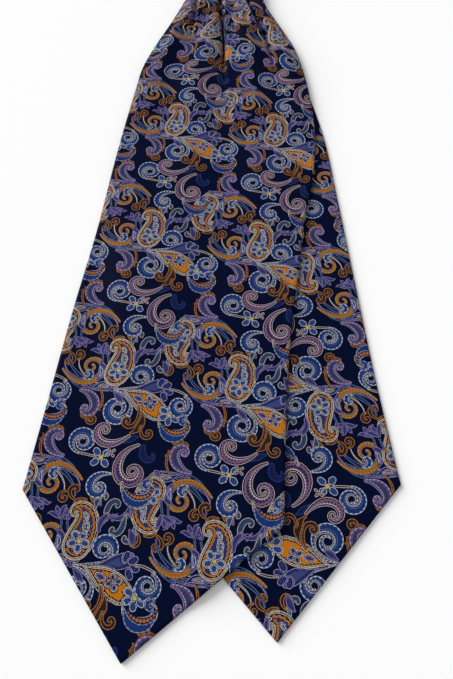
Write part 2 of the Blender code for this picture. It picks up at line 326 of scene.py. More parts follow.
def pleat_height(shares, depth, width):
    """How far the cloth stands above the plain wall: the pleats, the gathers, and the puff between them.

    Each fold's edge is a step that fades towards its foot. The higher side is rolled to a lip, and the
    cloth beside it sinks into a groove.
    """
    centres, halves = pleat_lines(depth, width)
    depth, width = depth[:, None], width[:, None]
    gather = GATHER * ease(0.0, GATHER_RISE, depth) * (1.0 - ease(*GATHER_FALL, depth))
    height = gather * ease(0.0, GATHER_SIDES, np.minimum(shares, 1.0 - shares))
    for k, (_, _, reach, side, _, groove) in enumerate(PLEATS):
        fade = 1.0 - ease(STEP_FADE[0] * reach, STEP_FADE[1] * reach, depth)
        away = (shares - centres[:, k : k + 1]) * width * side
        height += side * PLEAT_STEP * fade * ease(-PLEAT_EDGE, PLEAT_EDGE, away * side)
        lip = np.exp(-(((away - LIP_AT) / np.where(away < LIP_AT, *LIP_WIDTHS)) ** 2))
        trough = np.exp(-(((away + GROOVE_AT) / np.where(away < -GROOVE_AT, *GROOVE_WIDTHS)) ** 2))
        fade = 1.0 - ease(LIP_FADE[0] * reach, LIP_FADE[1] * reach, depth)
        height += fade * (LIP * lip - (groove + gather) * trough)
    walls = np.concatenate([np.zeros((len(centres), 1)), centres, np.ones((len(centres), 1))], 1)
    swell = ease(0.0, PUFF_PEAK, depth) * (1.0 - ease(PUFF_PEAK, PUFF_END, depth))
    for k in range(walls.shape[1] - 1):
        low, high = walls[:, k : k + 1], walls[:, k + 1 : k + 2]
        local = np.clip((shares - low) / (high - low), 0.0, 1.0)
        height += PUFF * swell * np.sin(pi * local) ** 2
    return height


def crease_height(shares, depth, width, creases):
    """The soft creases: each sinks as a bell across its line, and fades at both ends as a half wave."""
    across = shares * width[:, None] / MM
    along = np.broadcast_to(depth[:, None] / MM, shares.shape)
    height = np.zeros_like(shares)
    for start_share, start, end_share, end, half, sinks in creases:
        way = np.clip((along - start) / (end - start), 0.0, 1.0)
        line = (start_share + (end_share - start_share) * way) * width[:, None] / MM
        bell = np.exp(-(((across - line) / half) ** 2))
        height -= sinks * MM * bell * np.sin(pi * way) ** CREASE_ENDS
    return height


def blade_grid(rows, tip, size):
    """A blade's grid in plan, the depth and share of each point, and its row widths.

    A point lies between the row's ends by its column's share. Towards the corners the rows bend down,
    so that the last one runs along the two edges of the point.
    """
    length = path_length(rows) * MM
    steps = np.array(EDGE_STEPS[::-1]) * MM
    even = np.linspace(0.0, length - steps[0], size[0] - len(steps) + 2)
    depths = np.concatenate([even, length - steps[1:]])
    ends = smooth_path(rows, depths / MM)
    widths = np.hypot(ends[:, 2] - ends[:, 0], ends[:, 3] - ends[:, 1]) * MM
    shares = column_shares(depths, widths, size[1])
    left, right = ends[:, None, 0:2], ends[:, None, 2:4]
    plan = left + (right - left) * shares[..., None]
    corner_left, corner_right = np.array(rows[-1][0:2]), np.array(rows[-1][2:4])
    last = shares[-1][:, None]
    level = corner_left + (corner_right - corner_left) * last
    outer = np.where(last < 0.5, corner_left, corner_right)
    point = outer + (np.array(tip) - outer) * (1.0 - np.abs(2.0 * last - 1.0))
    bend = np.clip((depths - POINT_START) / (length - POINT_START), 0.0, 1.0)
    plan = (plan + bend[:, None, None] * (point - level)) * MM
    inset = np.minimum(np.minimum(shares, 1.0 - shares) * widths[:, None], length - depths[:, None])
    return plan, depths, widths, shares, inset


def outside(points, loop):
    """How far points lie outside a closed outline: 0 inside it."""
    shape = points.shape[:-1]
    flat = points.reshape(-1, 2)
    away = np.full(len(flat), np.inf)
    inside = np.zeros(len(flat), bool)
    for start, end in zip(loop, np.roll(loop, -1, axis=0)):
        run = end - start
        share = np.clip(((flat - start) @ run) / (run @ run), 0.0, 1.0)
        away = np.minimum(away, np.hypot(*(flat - start - share[:, None] * run).T))
        if start[1] != end[1]:
            spans = (start[1] > flat[:, 1]) != (end[1] > flat[:, 1])
            crossing = start[0] + (flat[:, 1] - start[1]) / run[1] * run[0]
            inside ^= spans & (flat[:, 0] < crossing)
    return np.where(inside, 0.0, away).reshape(shape)


def back_top(y):
    """The back blade's upper side: its wall, thicker at the neck where the pleats' layers meet."""
    return WALL + (BAND_WALL - WALL) * ease(NECK_Y - PLEAT_RUN, NECK_Y, y)


def back_outline():
    """The back blade's outline, as a coarse loop."""
    depths = np.linspace(0.0, path_length(BACK_ROWS), OUTLINE_ROWS)
    ends = smooth_path(BACK_ROWS, depths)
    return np.concatenate([ends[:, 0:2], [BACK_TIP], ends[::-1, 2:4]]) * MM


def swell_over_edge(inset):
    """How full a blade's wall is near its edge: a quarter circle over RIM, from 0 at the edge to 1."""
    return np.sqrt(np.clip(1.0 - (1.0 - np.clip(inset / RIM, 0.0, 1.0)) ** 2, 0.0, 1.0))


def edge_roll(inset):
    """The slight ridge where the turned edge lies inside the blade."""
    return EDGE_ROLL * np.exp(-(((inset - EDGE_ROLL_AT) / EDGE_ROLL_WIDTH) ** 2))


# Inks: line, fill, core or vine, and in millimetres the rim, gap, tooth, depth of the core (9 for none)
# and width of the vine
INKS = {
    "royal": ("#a6aab9", "#182f64", "#4c3f37", 0.29, 0.00, 0.45, 9.0, 1.15),
    "moon": ("#8488a2", "#1a2f62", "#1b3166", 0.30, 0.00, 0.30, 9.0, 0.0),
    "orange": ("#a0763f", "#8f5617", "#324167", 0.30, 0.00, 0.60, 9.0, 1.25),
    "boteh": ("#cabdac", "#a1631b", "#1e2e60", 0.33, 0.45, 0.55, 1.9, 0.0),
    "drop": ("#cabdac", "#b06815", "#b06815", 0.33, 0.45, 0.45, 9.0, 0.0),
    "flame": ("#18234e", "#a15f17", "#a15f17", 0.10, 0.00, 0.80, 9.0, 0.0),
    "amber": ("#9d662b", "#271d24", "#271d24", 0.44, 0.00, 0.00, 9.0, 0.0),
    "rose": ("#c6b0aa", "#6c4e70", "#2a2a46", 0.30, 0.35, 0.55, 1.9, 1.4),
    "fan": ("#9281a5", "#504061", "#2b3253", 0.32, 0.00, 0.55, 1.5, 1.2),
    "lavender": ("#8979a5", "#2b2f61", "#2c3165", 0.33, 0.00, 0.00, 9.0, 0.0),
    "iris": ("#928eb8", "#1f2b5d", "#393d6c", 0.33, 0.30, 0.35, 1.7, 0.0),
    "ice": ("#b6bad2", "#273a67", "#283c6a", 0.33, 0.00, 0.00, 9.0, 0.0),
    "steel": ("#60709b", "#131e44", "#142046", 0.31, 0.00, 0.00, 9.0, 0.0),
    "pearl": ("#c2b4a6", "#1b1d32", "#1c1e34", 0.30, 0.00, 0.00, 9.0, 0.0),
    "ash": ("#b0a9a2", "#293859", "#2a3a5c", 0.33, 0.00, 0.00, 9.0, 0.0),
    "gold": ("#c0a44e", "#b09648", "#b09648", 0.60, 0.00, 0.00, 9.0, 0.0),
    "deep": ("#22336d", "#121b40", "#131c43", 0.50, 0.00, 0.00, 9.0, 0.0),
    "casing": ("#bdad9c", "#0e1332", "#0e1434", 0.34, 0.00, 0.00, 9.0, 0.0),
}
GROUND = "#050c27"


def linear(colour):
    """An sRGB hex colour as linear red, green, blue and alpha."""
    value = np.array([int(colour[i : i + 2], 16) for i in (1, 3, 5)]) / 255.0
    value = np.where(value <= 0.04045, value / 12.92, ((value + 0.055) / 1.055) ** 2.4)
    return (*value.tolist(), 1.0)


def flower(u, v, size, petals, ink, centre, first=90):
    """Petals round a middle, each a short fat curl."""
    rows = []
    for k in range(petals):
        turn = first + 360 * k / petals
        du, dv = 0.25 * size * cos(radians(turn)), 0.25 * size * sin(radians(turn))
        rows.append((ink, u + du, v + dv, turn, size * 0.62, 0, 0, 1, size * 0.34, 0.75, 0.35, 0.9))
    if centre:
        rows.append((centre, u, v, 0, 0.1, 0, 0, 1, size * 0.22, 0.5, 1, 1))
    return rows


def tulip(u, v, heading, size, ink="lavender"):
    """A bell that parts into three pointed petals."""
    rows = [(ink, u, v, heading, size * 0.9, 0, 0, 1, size * 0.14, 0.65, 0.4, 0.05)]
    for side in (1, -1):
        bend = (-62 * side, 130 * side, 2.5)
        rows.append((ink, u, v, heading + 44 * side, size, *bend, size * 0.15, 0.5, 0.5, 0.05))
    return rows


def spray():
    """The group that springs from one hub, at the chart's origin, and shows twice, once turned about."""
    return [
        # Long thin leaves behind it
        ("steel", 1, 1.0, 178, 40, -8, -55, 1.6, 1.2, 0.4, 0.5, 0.4),
        ("steel", -4, 0.3, 172, 32, 6, -40, 1.6, 0.8, 0.4, 0.5, 0.4),
        ("steel", -16, -1.5, 165, 21, -15, -20, 1, 1.1, 0.4, 0.4, 0.4),
        ("lavender", -3, -0.6, 184, 36, -26, -40, 1.6, 0.75, 0.4, 0.5, 0.4),
        ("pearl", -6, 2.4, 168, 26, 10, -75, 1.6, 0.6, 0.4, 0.5, 0.4),
        # Orange scroll, with a shell in its crook
        ("orange", -33.5, 9.5, -48, 58, 150, 330, 2.6, 1.9, 0.34, 0.35, 0.45),
        ("royal", -19.5, 5.6, 0, 9, 60, 150, 1.5, 2.0, 0.5, 0.4, 0.4),
        # Small scroll and leaves at the hub
        ("ash", -2.0, 3.2, 165, 15, -60, -330, 1.4, 1.7, 0.4, 0.4, 0.5),
        ("lavender", -11, 5.5, 60, 12.5, 50, 40, 2, 2.5, 0.55, 0.3, 0.2),
        ("ice", -10.4, 8, 70, 6, 50, 20, 2, 0.9, 0.55, 0.5, 0.5),
        ("iris", 0, 1.4, 150, 13.5, 40, 30, 1, 2.2, 0.5, 0.3, 0.3),
        ("rose", -4, 2.3, 180, 5, 10, 0, 1, 0.8, 0.5, 0.5, 0.3),
        ("lavender", 0, 0, 215, 5.5, -60, -160, 1, 0.9, 0.5, 0.8, 0.9),
        # Rose fan, with an amber stem behind its back
        ("amber", -8.5, 0, -45, 13, -40, -30, 1, 0.75, 0.5, 0.6, 0.8),
        ("amber", -4.6, -9.5, -150, 4, 0, 90, 1, 0.7, 0.5, 0.9, 0.5),
        ("amber", -6.5, -12, 235, 10, -40, 60, 1, 0.9, 0.5, 0.7, 0.7),
        ("amber", -12.5, -17.5, 275, 14, 60, 300, 1.6, 1.1, 0.5, 0.7, 1.1),
        ("amber", -12.5, -18, 190, 4.5, -80, 0, 1, 1.1, 0.5, 0.9, 0.4),
        ("fan", -19.5, -2.2, -4, 31, -130, -290, 3.2, 3.0, 0.36, 0.35, 0.18),
        # Amber leaves over its tip
        ("amber", -1, 34, 172, 12, 30, 200, 1.8, 1.2, 0.5, 0.6, 0.9),
        ("amber", -8, 33.5, 150, 13, 30, -270, 1.5, 1.3, 0.5, 0.6, 1.0),
        ("amber", -13.5, 37, 200, 11, 40, 230, 1.5, 1.2, 0.5, 0.6, 1.0),
        ("amber", 3, 33.5, 130, 10, 0, -160, 1.5, 1.1, 0.5, 0.6, 0.9),
        # The great boteh and its flowers
        ("pearl", 0.5, 1.2, 45, 24, 40, 34, 1, 0.95, 0.5, 0.7, 0.7),
        ("casing", -0.6, 10.2, 70, 30, 22, 225, 3.2, 8.1, 0.10, 0.95, 0.17),
        ("boteh", -0.6, 10.2, 70, 30, 22, 225, 3.2, 7.0, 0.10, 0.94, 0.08),
        *flower(0.2, 12.4, 4.9, 5, "ice", "gold", 60),
        ("royal", 2.4, 17.5, 85, 5.5, 0, 30, 1, 1.3, 0.5, 0.6, 0.4),
        ("ice", 1.8, 24.5, 110, 3, 0, 30, 1, 0.8, 0.5, 0.6, 0.4),
        # Tulips on stems
        ("steel", -33, 39, -80, 9, 15, 0, 1, 0.6, 0.5, 0.9, 0.9),
        *tulip(-31.5, 31.5, -62, 8.6),
        ("steel", -11, 18, 95, 7, 25, 0, 1, 0.6, 0.5, 0.9, 0.9),
        *tulip(-12.6, 22.6, 122, 8.4),
        # Ribbons and small leaves on the right
        ("lavender", 9.6, 19, 97, 14, 10, -170, 1.8, 1.45, 0.4, 0.6, 0.5),
        ("lavender", 14, 27, -25, 14, 140, -20, 1, 1.45, 0.6, 0.5, 0.6),
        ("ash", 5.2, 30, 95, 13, 10, -190, 2.4, 1.7, 0.4, 0.3, 0.7),
        ("ash", 22.5, 29, -100, 16, 40, -210, 2.6, 1.7, 0.4, 0.3, 0.8),
        ("lavender", 26, 21.5, -50, 8.5, -40, 0, 1, 1.8, 0.45, 0.4, 0.2),
    ]


def about(rows):
    """The same curls, turned half way round the turning centre."""
    u0, v0 = TURN_CENTRE
    return [(ink, 2 * u0 - u, 2 * v0 - v, heading + 180, *rest) for ink, u, v, heading, *rest in rows]


def crescent(u, v, turn):
    """A moon of blue with an orange zigzag along its hollow, and a pearly line round its back."""
    rows = [
        ("pearl", -1.0, 1.2, -88, 35, 60, 160, 1.2, 0.55, 0.5, 0.8, 0.8),
        ("moon", 0, -0.6, -72, 24, 20, 155, 1.2, 3.7, 0.5, 0.12, 0.16),
        ("flame", 1.8, -1.2, -52, 19, 30, 95, 1.2, 1.15, 0.5, 0.4, 0.5),
        ("moon", 14.5, 4.5, 160, 9, 60, 200, 1.2, 1.4, 0.5, 0.6, 0.6),
    ]
    c, s = cos(radians(turn)), sin(radians(turn))
    return [(ink, u + c * a - s * b, v + s * a + c * b, h + turn, *rest) for ink, a, b, h, *rest in rows]


def chart():
    """One repeat of the print, in painting order, as rows that each say one curl.

    ink, start u and v, heading, length, sway, curl, grip, greatest half width, its place, its share at
    the start and at the end.
    """
    return [
        *about(spray()),
        *spray(),
        # Blue scrolls at the hub
        ("royal", 0, 0.6, 4, 17, 16, 0, 1, 0.9, 0.6, 0.4, 0.8),
        ("royal", 15.5, 4.2, 12, 38, 365, 140, 3, 2.7, 0.42, 0.30, 0.20),
        ("royal", 0.5, -0.2, -6, 14, -42, -10, 1, 1.0, 0.6, 0.4, 0.8),
        ("royal", 11.5, -6.6, -58, 47, -355, -145, 3, 3.0, 0.45, 0.28, 0.19),
        ("lavender", 1, -1.5, -45, 8, -30, 40, 1, 1.7, 0.6, 0.4, 0.2),
        # Heart leaf, teardrop and the flower at its end
        ("iris", 11, 1.6, 8, 19, 12, 10, 1, 4.0, 0.80, 0.12, 0.75),
        ("iris", 27, 7, 80, 2.5, 0, 0, 1, 1.9, 0.6, 0.9, 0.9),
        ("iris", 30, 6, 40, 2.5, 0, 0, 1, 1.9, 0.6, 0.9, 0.9),
        ("iris", 31, 3, 0, 2.5, 0, 0, 1, 1.9, 0.6, 0.9, 0.9),
        ("iris", 29.5, 1, -60, 2.5, 0, 0, 1, 1.9, 0.6, 0.9, 0.9),
        ("casing", 5, 0.9, -18, 24.5, -12, 0, 1, 6.9, 0.82, 0.06, 0.90),
        ("drop", 7, 0.4, -18, 22.5, -12, 0, 1, 5.8, 0.82, 0.06, 0.90),
        *flower(23.0, -5.0, 3.4, 4, "iris", "ash", 20),
        ("lavender", 14, -2.6, -20, 4, 0, 0, 1, 1.3, 0.5, 0.6, 0.4),
        *flower(35.5, -10.6, 5.6, 6, "ice", "gold"),
        # Blue scrolls between
        ("pearl", -1.5, -39.8, 175, 12, 0, 0, 1, 0.7, 0.5, 0.8, 0.8),
        ("royal", -11.5, -39.0, 172, 42, -370, -145, 3, 2.8, 0.44, 0.28, 0.20),
        ("pearl", 33, 5.0, 0, 11, -28, 0, 1, 0.7, 0.5, 0.8, 0.8),
        ("royal", 42.5, 1.6, -20, 37, -360, -140, 3, 2.6, 0.44, 0.30, 0.21),
        ("royal", 11, -48.5, 176, 37, 60, 400, 2.0, 2.6, 0.42, 0.2, 0.22),
        # Amber curls
        ("amber", 17, -8, -72, 25, -40, -290, 2.6, 1.3, 0.4, 0.5, 0.9),
        ("amber", 19.5, -11.5, -62, 15, -60, -30, 1, 2.2, 0.55, 0.25, 0.3),
        ("amber", 21, -20, -95, 16, 30, 270, 1.7, 1.2, 0.5, 0.5, 0.9),
        ("deep", 24.5, -31, -100, 15, 60, 160, 2, 2.2, 0.35, 0.6, 0.4),
        ("deep", 20, -26, 200, 9, 0, 20, 1, 2.0, 0.5, 0.4, 0.3),
        # Rose horns
        ("rose", 15, -26, 226, 40, -95, -330, 2.8, 2.5, 0.40, 0.35, 0.28),
        ("rose", 21.5, -30.5, 204, 54, 175, 330, 2.8, 3.1, 0.44, 0.30, 0.22),
        *flower(1.5, -40, 5.8, 4, "ice", "gold", 45),
        *flower(6.8, -36.8, 2.6, 4, "rose", None, 45),
        # Crescents
        *crescent(31, -15.5, 0),
        *crescent(17.5, -54, 0),
    ]


def curl_line(start, heading, length, sway, curl, grip, width, peak, root, tip):
    """A curl's spine: distances along it, its points, its headings and its half widths.

    The heading at a share s of the length is heading + sway s + curl s to the power grip, with a last
    twist into the eye, and the half width rises and falls as a power of a sine, greatest at peak.
    """
    share = np.linspace(0.0, 1.0, max(int(length / SPINE_STEP), 2))
    angle = np.radians(heading + sway * share + curl * (share**grip + EYE_TWIST * share**EYE_GRIP))
    way = np.stack([np.cos(angle), np.sin(angle)], 1)
    step = length / (len(share) - 1)
    path = np.concatenate([[[0.0, 0.0]], np.cumsum((way[1:] + way[:-1]) / 2, axis=0)]) * step + start
    rise = root + (1 - root) * np.sin(pi / 2 * np.clip(share / peak, 0, 1)) ** TAPER
    fall = tip + (1 - tip) * np.cos(pi / 2 * np.clip((share - peak) / (1 - peak), 0, 1)) ** TAPER
    return share * length, path, angle, width * np.where(share < peak, rise, fall)


def print_on(cloth, margin):
    """The two curls of the print that show in each small face of the flat cloth, in millimetres.

    cloth holds the faces' middles and margin their reach. A curl is told by its foot (the spine's nearest
    point, and its heading there), its form (bend, half width and taper) and its kind (distance along,
    ink, whether it ends here, and its hollow side). A later curl covers an earlier one, with a clear
    line of ground between them.
    """
    repeat = np.array(REPEAT)
    count = len(cloth)
    foot = np.zeros((2, count, 3))
    form = np.zeros((2, count, 3))
    kind = np.zeros((2, count, 4))
    depth = np.full((2, count), NOWHERE)
    form[:, :, 1] = NOWHERE
    names = list(INKS)
    for name, u, v, *shape in chart():
        run, spine, angle, half = curl_line((u, v), *shape)
        middle = (spine.min(0) + spine.max(0)) / 2
        reach = (spine.max(0) - spine.min(0)) / 2 + half.max() + CLEAR + margin.max()
        offset = (cloth - middle + repeat / 2) % repeat - repeat / 2
        near = np.flatnonzero((np.abs(offset) < reach).all(1))
        local = offset[near] + middle
        away = local[:, None] - spine
        inside = half - np.hypot(away[..., 0], away[..., 1])
        best = inside.argmax(1)
        deepest = inside[np.arange(len(near)), best]
        touched = deepest > -CLEAR - margin[near]
        near, local, best, deepest = near[touched], local[touched], best[touched], deepest[touched]
        way = np.stack([np.cos(angle[best]), np.sin(angle[best])], 1)
        ahead = ((local - spine[best]) * way).sum(1)
        at = run[best] + ahead
        ends = (at < 0.0) | (at > run[-1])
        at = np.clip(at, 0.0, run[-1])
        bend = np.where(ends, 0.0, np.interp(at, run, np.gradient(angle, run)))
        taper = np.where(ends, 0.0, np.interp(at, run, np.gradient(half, run)))
        nearest = np.stack([np.interp(at, run, spine[:, 0]), np.interp(at, run, spine[:, 1])], 1)
        seen = (depth[0, near] > -KEPT_WITHIN) | (depth[0, near] >= depth[1, near])
        for part in (foot, form, kind, depth):
            part[1, near[seen]] = part[0, near[seen]]
        covered = near[deepest > CLEAR + margin[near]]
        form[1, covered, 1] = NOWHERE
        depth[1, covered] = NOWHERE
        side = np.full(len(near), 1.0 if shape[3] >= 0 else -1.0)
        foot[0, near] = np.column_stack([nearest + cloth[near] - local, np.interp(at, run, angle)])
        form[0, near] = np.column_stack([bend, np.interp(at, run, half), taper])
        kind[0, near] = np.column_stack([at, np.full(len(near), names.index(name)), ends, side])
        depth[0, near] = deepest
    return foot, form, kind


def put_print(mesh, cloth, points_cloth, margin):
    """Gives a mesh's points their place on the flat cloth, and its faces the curls that show there."""
    flat = np.column_stack([points_cloth, np.zeros(len(points_cloth))])
    mesh.attributes.new("cloth", "FLOAT_VECTOR", "POINT").data.foreach_set("vector", flat.ravel())
    plain = len(mesh.polygons) - len(cloth)
    parts = print_on(cloth, margin)
    for layer in (0, 1):
        for name, part, empty in zip(("foot", "form", "kind"), parts, (0.0, NOWHERE, 0.0)):
            rows = np.concatenate([part[layer], np.full((plain, part.shape[2]), empty)])
            kept, field = ("FLOAT_COLOR", "color") if part.shape[2] == 4 else ("FLOAT_VECTOR", "vector")
            attribute = mesh.attributes.new(f"{name}_{layer}", kept, "FACE")
            attribute.data.foreach_set(field, rows.ravel())


def add(tree, kind, inputs=(), **settings):
    """Adds a node with its settings, and sets or links its inputs, given as pairs of name and value."""
    made = tree.nodes.new(kind)
    for name, value in settings.items():
        setattr(made, name, value)
    for name, value in inputs:
        if isinstance(value, bpy.types.NodeSocket):
            tree.links.new(value, made.inputs[name])
        else:
            made.inputs[name].default_value = value
    return made


def follow(tree, known, steps):
    """Adds a node for each step of a table, and keeps its output in known by the step's name.

    A step is a name, what it does, and its inputs: numbers, or the names of outputs that are known by then.
    A soft step goes from 0 to 1 between two limits, a blend mixes two colours by a share, and any other
    word is a sum as the Math node names it.
    """
    for name, does, *inputs in steps:
        plain_sum = ("ShaderNodeMath", {"operation": does}, (0, 1, 2), 0)
        kind, settings, sockets, out = STEP_KINDS.get(does, plain_sum)
        values = [known[value] if isinstance(value, str) else value for value in inputs]
        known[name] = add(tree, kind, zip(sockets, values), **settings).outputs[out]


def curl_painter():
    """A node group that paints one curl: how deep a point of the cloth lies in it, and its colour."""
    tree = bpy.data.node_groups.new("curl_painter", "ShaderNodeTree")
    wanted = {
        "Cloth": "NodeSocketVector",
        "Foot": "NodeSocketVector",
        "Form": "NodeSocketVector",
        "Kind": "NodeSocketColor",
        "Side": "NodeSocketFloat",
        "Limit": "NodeSocketFloat",
        "Bleed": "NodeSocketFloat",
    }
    for name, socket in wanted.items():
        tree.interface.new_socket(name, in_out="INPUT", socket_type=socket)
    tree.interface.new_socket("Depth", in_out="OUTPUT", socket_type="NodeSocketFloat")
    tree.interface.new_socket("Colour", in_out="OUTPUT", socket_type="NodeSocketColor")
    given = add(tree, "NodeGroupInput").outputs
    result = add(tree, "NodeGroupOutput")
    known = {"side": given["Side"], "limit": given["Limit"], "bleed": given["Bleed"]}
    vectors = {
        "Cloth": ("u", "v", "flat"),
        "Foot": ("foot u", "foot v", "heading"),
        "Form": ("bend", "half width", "taper"),
    }
    for name, parts in vectors.items():
        split = add(tree, "ShaderNodeSeparateXYZ", [(0, given[name])])
        known.update(zip(parts, split.outputs))
    split = add(tree, "ShaderNodeSeparateColor", [(0, given["Kind"])])
    known.update(zip(("distance", "ink", "ends"), split.outputs))

    # The point in the curl's own directions: ahead along its heading, and beside its bending spine
    steps = [
        ("du", "SUBTRACT", "u", "foot u"),
        ("dv", "SUBTRACT", "v", "foot v"),
        ("cosine", "COSINE", "heading"),
        ("sine", "SINE", "heading"),
        ("dv ahead", "MULTIPLY", "dv", "sine"),
        ("ahead", "MULTIPLY_ADD", "du", "cosine", "dv ahead"),
        ("dv across", "MULTIPLY", "dv", "cosine"),
        ("du across", "MULTIPLY", "du", "sine"),
        ("across", "SUBTRACT", "dv across", "du across"),
        ("ahead squared", "MULTIPLY", "ahead", "ahead"),
        ("half bend", "MULTIPLY", "bend", 0.5),
        ("bow", "MULTIPLY", "ahead squared", "half bend"),
        ("beside", "SUBTRACT", "across", "bow"),
        ("stretch", "MULTIPLY_ADD", "bend", "beside", 1.0),
        ("along", "MULTIPLY_ADD", "ahead", "stretch", "distance"),
    ]
    # How deep it lies inside the curl, round its end where it ends here
    steps += [
        ("past end", "MULTIPLY", "ahead", "ends"),
        ("beside squared", "MULTIPLY", "beside", "beside"),
        ("away squared", "MULTIPLY_ADD", "past end", "past end", "beside squared"),
        ("away", "SQRT", "away squared"),
        ("taper squared", "MULTIPLY", "taper", "taper"),
        ("slant squared", "SUBTRACT", 1.0, "taper squared"),
        ("slant", "SQRT", "slant squared"),
        ("square away", "MULTIPLY", "away", "slant"),
        ("width here", "MULTIPLY_ADD", "taper", "ahead", "half width"),
        ("crisp depth", "SUBTRACT", "width here", "square away"),
        ("bled depth", "ADD", "crisp depth", "bleed"),
        ("depth", "MINIMUM", "bled depth", "limit"),
        ("ink's middle", "ADD", "ink", 0.5),
        ("ink's place", "DIVIDE", "ink's middle", float(len(INKS))),
    ]
    follow(tree, known, steps)

    # The ink's colours, and its sizes as colours
    rows = list(INKS.values())
    lookups = {
        "line": [linear(row[0]) for row in rows],
        "fill": [linear(row[1]) for row in rows],
        "core": [linear(row[2]) for row in rows],
        "bands": [tuple(size / TENTHS for size in row[3:7]) for row in rows],
        "vines": [(row[7] / TENTHS,) * 4 for row in rows],
    }
    for name, colours in lookups.items():
        made = add(tree, "ShaderNodeValToRGB", [("Fac", known["ink's place"])])
        ramp = made.color_ramp
        ramp.interpolation = "CONSTANT"
        while len(ramp.elements) < len(colours):
            ramp.elements.new(1.0)
        for place, (element, colour) in enumerate(zip(ramp.elements, colours)):
            element.position = place / len(colours)
            element.color = colour
        known[name], known[f"{name} fourth"] = made.outputs
    split = add(tree, "ShaderNodeSeparateColor", [(0, known["bands"])])
    known.update(zip(("rim tenths", "gap tenths", "tooth tenths"), split.outputs))
    ground = add(tree, "ShaderNodeRGB")
    ground.outputs[0].default_value = linear(GROUND)
    known["ground"] = ground.outputs[0]

    # Sizes in millimetres, and the vine's width, which it has on the hollow side alone
    steps = [
        ("rim", "MULTIPLY", "rim tenths", TENTHS),
        ("gap", "MULTIPLY", "gap tenths", TENTHS),
        ("tooth", "MULTIPLY", "tooth tenths", TENTHS),
        ("core depth", "MULTIPLY", "bands fourth", TENTHS),
        ("full vine", "MULTIPLY", "vines fourth", TENTHS),
        ("to the hollow", "MULTIPLY", "beside", "side"),
        ("safe width", "MAXIMUM", "half width", LEAST_HALF),
        ("hollow", "DIVIDE", "to the hollow", "safe width"),
        ("hollow side", "SOFT_STEP", "hollow", *HOLLOW_SIDE),
        ("vine", "MULTIPLY", "full vine", "hollow side"),
        ("has vine", "SOFT_STEP", "vine", *VINE_SEEN),
        ("bare", "SUBTRACT", 1.0, "has vine"),
        ("has gap", "GREATER_THAN", "gap", LEAST_GAP),
    ]
    # Teeth and beads, as waves along the curl
    steps += [
        ("turns", "MULTIPLY", "along", 2 * pi / TOOTH_PITCH),
        ("wave", "SINE", "turns"),
        ("raised wave", "MULTIPLY_ADD", "wave", 0.5, 0.5),
        ("teeth", "MULTIPLY", "tooth", "raised wave"),
        ("bead", "SOFT_STEP", "wave", *BEAD_EDGE),
        ("dim line", "BLEND", BEAD_DARK, "line", "ground"),
        ("outline", "BLEND", "bead", "dim line", "line"),
    ]
    # How far past each edge the point lies
    steps += [
        ("past rim", "SUBTRACT", "depth", "rim"),
        ("past gap", "SUBTRACT", "past rim", "gap"),
        ("past teeth", "SUBTRACT", "past gap", "teeth"),
        ("past vine", "SUBTRACT", "depth", "vine"),
        ("past vine's line", "ADD", "past vine", VINE_LINE),
        ("past vine's teeth", "SUBTRACT", "past vine", "teeth"),
        ("past core", "SUBTRACT", "depth", "core depth"),
        ("past core's teeth", "SUBTRACT", "past core", "teeth"),
    ]
    # The paints, one over the other: the edge past which each begins, where it is wanted, and its colour
    paints = [
        ("past rim", "has gap", "ground"),
        ("past teeth", "bare", "fill"),
        ("past rim", "has vine", "core"),
        ("past vine's line", "has vine", "outline"),
        ("past vine's teeth", "has vine", "fill"),
        ("past core's teeth", 1.0, "core"),
    ]
    steps += [
        ("inside", "SOFT_STEP", "depth", -BLUR, BLUR),
        ("colour", "BLEND", "inside", "ground", "outline"),
    ]
    for begins, where, paint in paints:
        steps += [
            ("begun", "SOFT_STEP", begins, -BLUR, BLUR),
            ("share", "MULTIPLY", "begun", where),
            ("colour", "BLEND", "share", "colour", paint),
        ]
    follow(tree, known, steps)
    tree.links.new(known["depth"], result.inputs["Depth"])
    tree.links.new(known["colour"], result.inputs["Colour"])
    return tree


